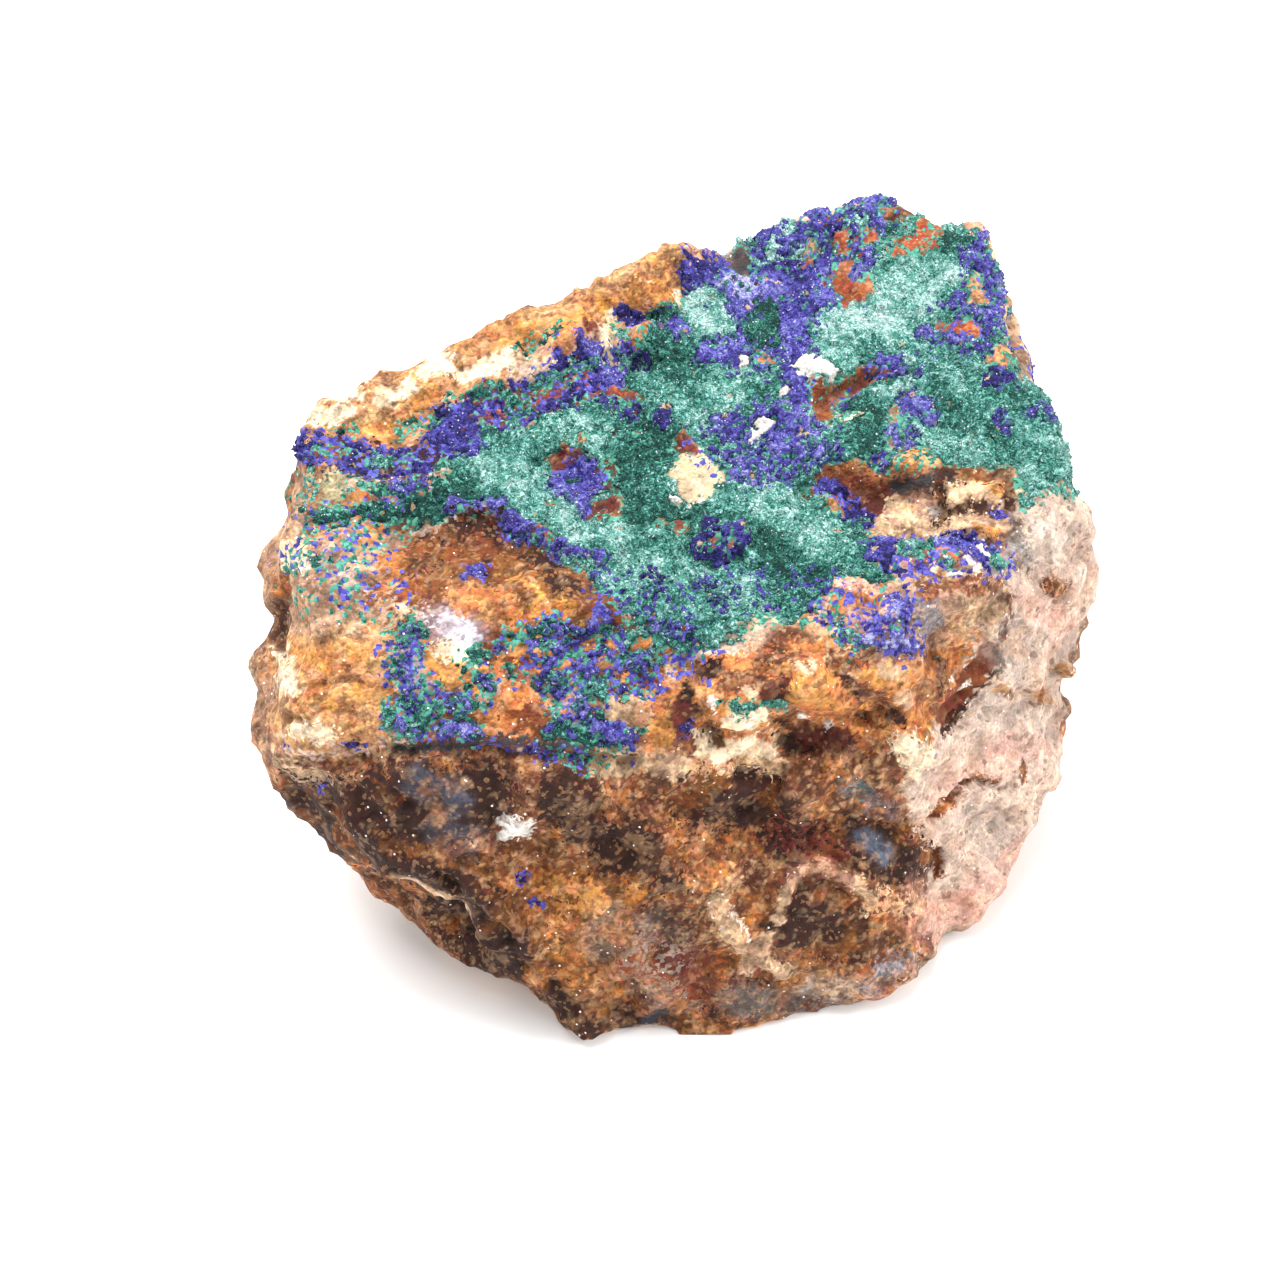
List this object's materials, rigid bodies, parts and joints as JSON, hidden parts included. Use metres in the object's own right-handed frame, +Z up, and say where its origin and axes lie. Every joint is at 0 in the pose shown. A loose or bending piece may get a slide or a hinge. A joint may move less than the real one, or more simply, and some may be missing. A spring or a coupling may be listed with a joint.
{
  "type": "azurite specimen",
  "caption": "Broken block of iron-stained rock with a crust of blue azurite and green malachite over its top and front slope, resting on a flat underside.",
  "frame": {"origin": "bottom centre of the specimen's box, on the plane that it rests on", "axes": "+Z up; +X to the right across the crust's front edge, the longest way; -Y towards the brown broken front; the resting face points along -Z"},
  "size_m": [0.121, 0.1082, 0.0674],
  "materials": {
    "matrix_rock": "matte",
    "azurite_crust": "satin",
    "malachite_crust": "satin",
    "pale_minerals": "satin"
  },
  "bodies": {
    "root": {"azurite_specimen": "matrix_rock"}
  },
  "joints": []
}
